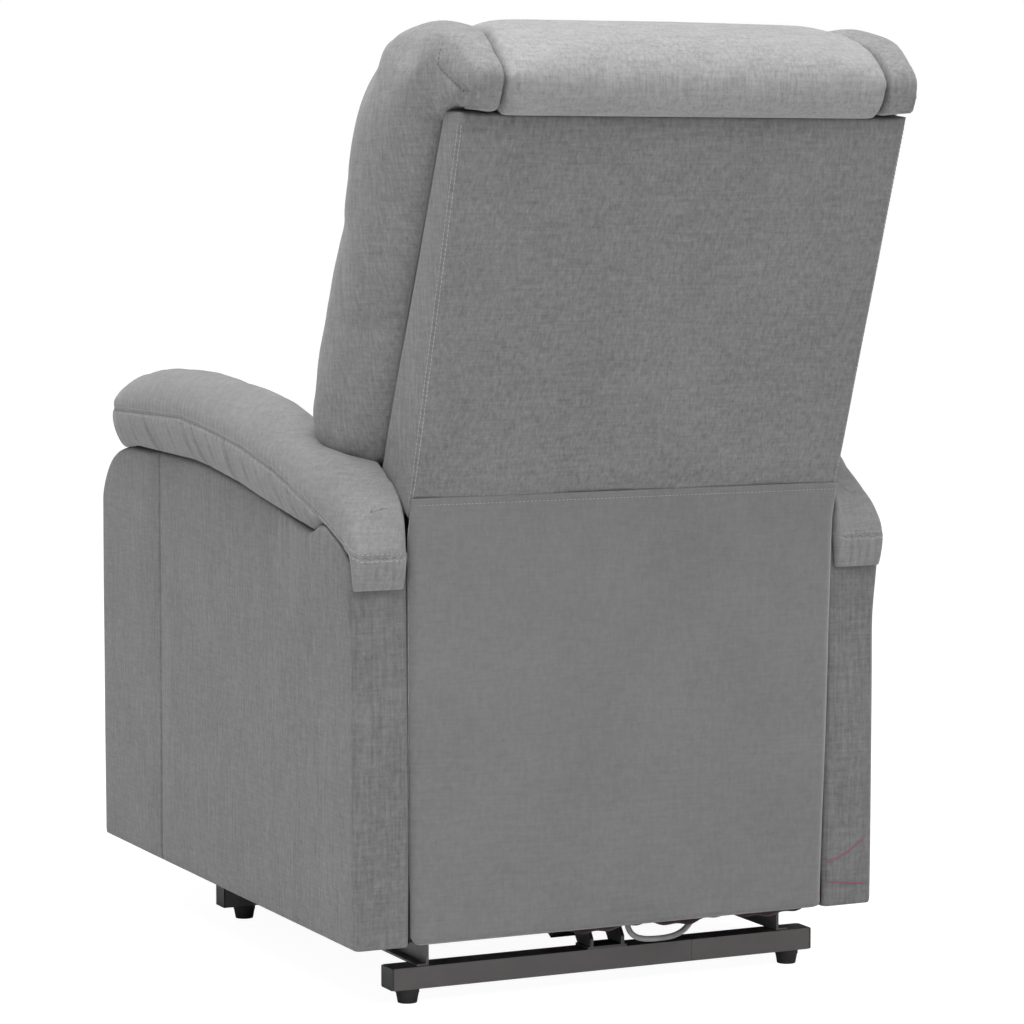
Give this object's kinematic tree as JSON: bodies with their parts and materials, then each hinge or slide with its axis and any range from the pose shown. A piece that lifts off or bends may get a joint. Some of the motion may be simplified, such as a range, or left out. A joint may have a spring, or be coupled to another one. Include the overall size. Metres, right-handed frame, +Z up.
{
  "type": "lift recliner chair",
  "caption": "Upholstered lift recliner with padded arms, winged back, swing-out footrest and a tilting lift base driven by an actuator under the seat.",
  "frame": {"origin": "on the floor, below the centre of the bounding box with the chair upright", "axes": "+Z up, -Y is the front of the chair, +X is the left side of a person sitting in it"},
  "size_m": [0.666, 0.994, 1.043],
  "materials": {
    "steel_grey": "warm charcoal satin powder coat",
    "steel_black": "black semi-gloss paint on pressed steel links",
    "bright_steel": "zinc plated pins and springs",
    "rod_chrome": "polished rod",
    "black_plastic": "fine grained moulding",
    "button_plastic": "smooth keys",
    "foot_rubber": "hard black glide",
    "cable_grey": "smooth cable jacket",
    "plywood": "plain ply",
    "weave_grey": "mid grey heathered weave with a fine vertical slub",
    "weave_light": "same weave, lighter where it faces up",
    "flap_grey": "smooth short pile cloth",
    "strip_black": "hook and loop tape"
  },
  "bodies": {
    "base": {"rear_crossbar_long": "steel_grey", "rear_crossbar_short": "steel_grey", "crossbar_joint_sleeve": "bright_steel", "front_crossbar": "steel_grey", "tube_end_caps": "black_plastic", "side_rail_left": "steel_grey", "side_rail_right": "steel_grey", "glide_feet": "foot_rubber", "base_bracket_left": "steel_black", "base_bracket_right": "steel_black", "actuator_rear_bracket": "steel_black"},
    "lift_links": {"lift_link_left": "steel_black", "lift_link_right": "steel_black", "lift_torque_tube": "steel_black"},
    "rear_links": {"rear_link_left": "steel_black", "rear_link_right": "steel_black"},
    "actuator": {"motor_housing": "black_plastic", "actuator_tube": "black_plastic"},
    "actuator_rod": {"actuator_rod": "rod_chrome"},
    "chassis": {"side_plate_left": "steel_black", "side_plate_right": "steel_black", "chassis_pivot_pins": "bright_steel", "seat_front_rail": "steel_black", "seat_rear_rail": "steel_black", "seat_springs": "bright_steel", "seat_cushion": "weave_light", "arm_cover_left": "weave_grey", "arm_cover_right": "weave_grey", "arm_frame_left": "plywood", "arm_frame_right": "plywood", "arm_pad_left": "weave_light", "arm_pad_right": "weave_light", "side_pocket": "weave_grey", "handset_body": "black_plastic", "rear_flap": "flap_grey", "power_supply": "black_plastic", "cables": "cable_grey"},
    "button_up": {"handset_button_up": "button_plastic"},
    "button_down": {"handset_button_down": "button_plastic"},
    "backrest": {"back_cover": "weave_grey", "back_upright_left": "steel_black", "back_upright_right": "steel_black", "back_cross_rails": "steel_black", "wing_left": "weave_light", "wing_right": "weave_light", "head_pillow": "weave_light", "middle_pillow": "weave_light", "lumbar_roll": "weave_light", "flap_hook_strip": "strip_black"},
    "footrest_rear_links": {"footrest_rear_link_left": "steel_black", "footrest_rear_link_right": "steel_black"},
    "footrest_front_links": {"footrest_front_link_left": "steel_black", "footrest_front_link_right": "steel_black"},
    "footrest_carriers": {"footrest_carrier_left": "steel_black", "footrest_carrier_right": "steel_black"},
    "footrest_control_links": {"footrest_control_link_left": "steel_black", "footrest_control_link_right": "steel_black"},
    "footrest": {"footrest_board": "plywood", "footrest_brackets": "steel_black", "footrest_pad": "weave_light"}
  },
  "joints": [
    {"name": "lift", "type": "hinge", "parent": "base", "child": "lift_links", "pos_m": [0, -0.1363, 0.1885], "axis": [1, 0, 0], "range_deg": [0, 45]},
    {"name": "chassis_tilt", "type": "hinge", "parent": "lift_links", "child": "chassis", "pos_m": [0, 0.2, 0.3], "axis": [1, 0, 0], "range_deg": [-21.01, 0]},
    {"name": "rear_link_swing", "type": "hinge", "parent": "base", "child": "rear_links", "pos_m": [0, -0.18, 0.1284], "axis": [1, 0, 0], "range_deg": [0, 55.92]},
    {"name": "actuator_swing", "type": "hinge", "parent": "base", "child": "actuator", "pos_m": [0, 0.235, 0.08], "axis": [1, 0, 0], "range_deg": [0, 6.75]},
    {"name": "actuator_extend", "type": "slide", "parent": "actuator", "child": "actuator_rod", "axis": [0, -0.8873, 0.4612], "range_m": [0, 0.0452]},
    {"name": "recline", "type": "hinge", "parent": "chassis", "child": "backrest", "pos_m": [0, 0.24, 0.4], "axis": [-1, 0, 0], "range_deg": [0, 32]},
    {"name": "footrest_extend", "type": "hinge", "parent": "chassis", "child": "footrest_rear_links", "pos_m": [0, -0.40345, 0.30256], "axis": [-1, 0, 0], "range_deg": [0, 80]},
    {"name": "footrest_front_swing", "type": "hinge", "parent": "chassis", "child": "footrest_front_links", "pos_m": [0, -0.41023, 0.24911], "axis": [-1, 0, 0], "range_deg": [0, 80.05]},
    {"name": "footrest_carrier_turn", "type": "hinge", "parent": "footrest_rear_links", "child": "footrest_carriers", "pos_m": [0, -0.31186, 0.16707], "axis": [-1, 0, 0], "range_deg": [-80.05, 0]},
    {"name": "footrest_control_turn", "type": "hinge", "parent": "footrest_front_links", "child": "footrest_control_links", "pos_m": [0, -0.30416, 0.07374], "axis": [-1, 0, 0], "range_deg": [-80.05, 0]},
    {"name": "footrest_turn", "type": "hinge", "parent": "footrest_carriers", "child": "footrest", "pos_m": [0, -0.45474, 0.34661], "axis": [-1, 0, 0], "range_deg": [0, 80.05]},
    {"name": "button_up_press", "type": "slide", "parent": "chassis", "child": "button_up", "axis": [1, 0, 0], "range_m": [0, 0.0015]},
    {"name": "button_down_press", "type": "slide", "parent": "chassis", "child": "button_down", "axis": [1, 0, 0], "range_m": [0, 0.0015]}
  ],
  "couplings": [
    {"joint": "chassis_tilt", "follows": "lift", "ratio": -0.46667},
    {"joint": "rear_link_swing", "follows": "lift", "ratio": 1.2422},
    {"joint": "actuator_swing", "follows": "lift", "ratio": 0.1495},
    {"joint": "actuator_extend", "follows": "lift", "m_per_rad": 0.057386},
    {"joint": "footrest_front_swing", "follows": "footrest_extend", "ratio": 1},
    {"joint": "footrest_carrier_turn", "follows": "footrest_extend", "ratio": -1},
    {"joint": "footrest_control_turn", "follows": "footrest_extend", "ratio": -1},
    {"joint": "footrest_turn", "follows": "footrest_extend", "ratio": 1}
  ]
}
